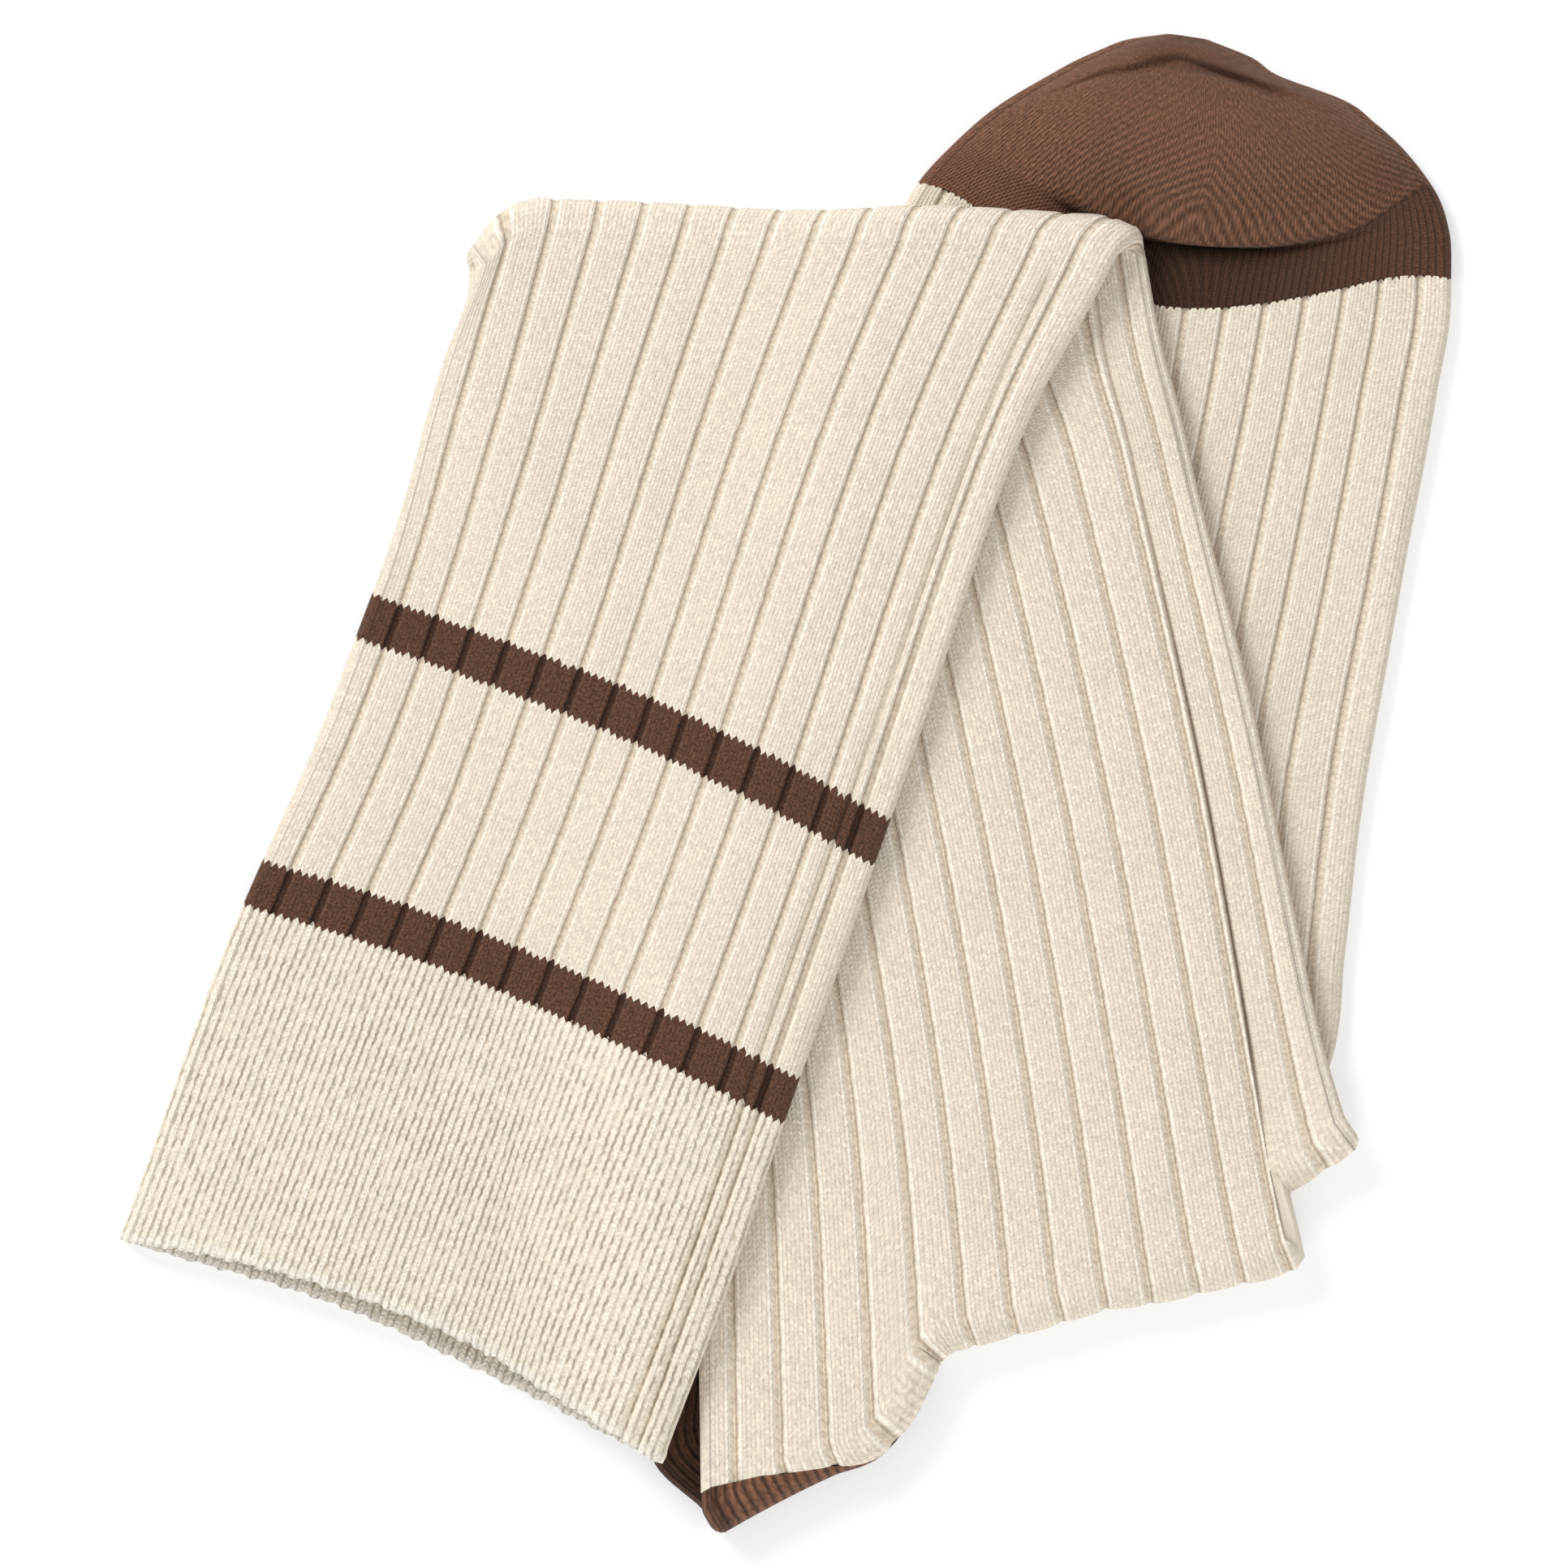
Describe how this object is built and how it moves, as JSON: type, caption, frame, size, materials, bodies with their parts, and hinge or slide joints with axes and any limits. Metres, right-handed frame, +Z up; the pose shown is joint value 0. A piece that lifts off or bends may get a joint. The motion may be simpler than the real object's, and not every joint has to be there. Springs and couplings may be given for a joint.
{
  "type": "mid-calf sock",
  "caption": "Ribbed knit mid-calf sock with striped leg, cuff, and contrasting heel and toe, lying flat and folded in three.",
  "frame": {"origin": "middle of the bounding box, on the surface that the folded sock lies on", "axes": "+Z up, +Y towards the toe end of the folded sock, +X to the right with the cuff on the left"},
  "size_m": [0.197, 0.2222, 0.0136],
  "materials": {
    "cuff": "matt rib knit, cream",
    "stripe_low": "matt rib knit, brown",
    "band": "matt rib knit, beige",
    "stripe_high": "matt rib knit, brown",
    "leg": "matt rib knit, beige",
    "heel": "matt plain knit, brown",
    "foot": "matt rib knit, beige",
    "toe": "matt plain knit, brown"
  },
  "bodies": {
    "root": {"cuff": "cuff", "stripe_low": "stripe_low", "band": "band", "stripe_high": "stripe_high", "leg": "leg", "heel": "heel", "foot": "foot", "toe": "toe"}
  },
  "joints": []
}
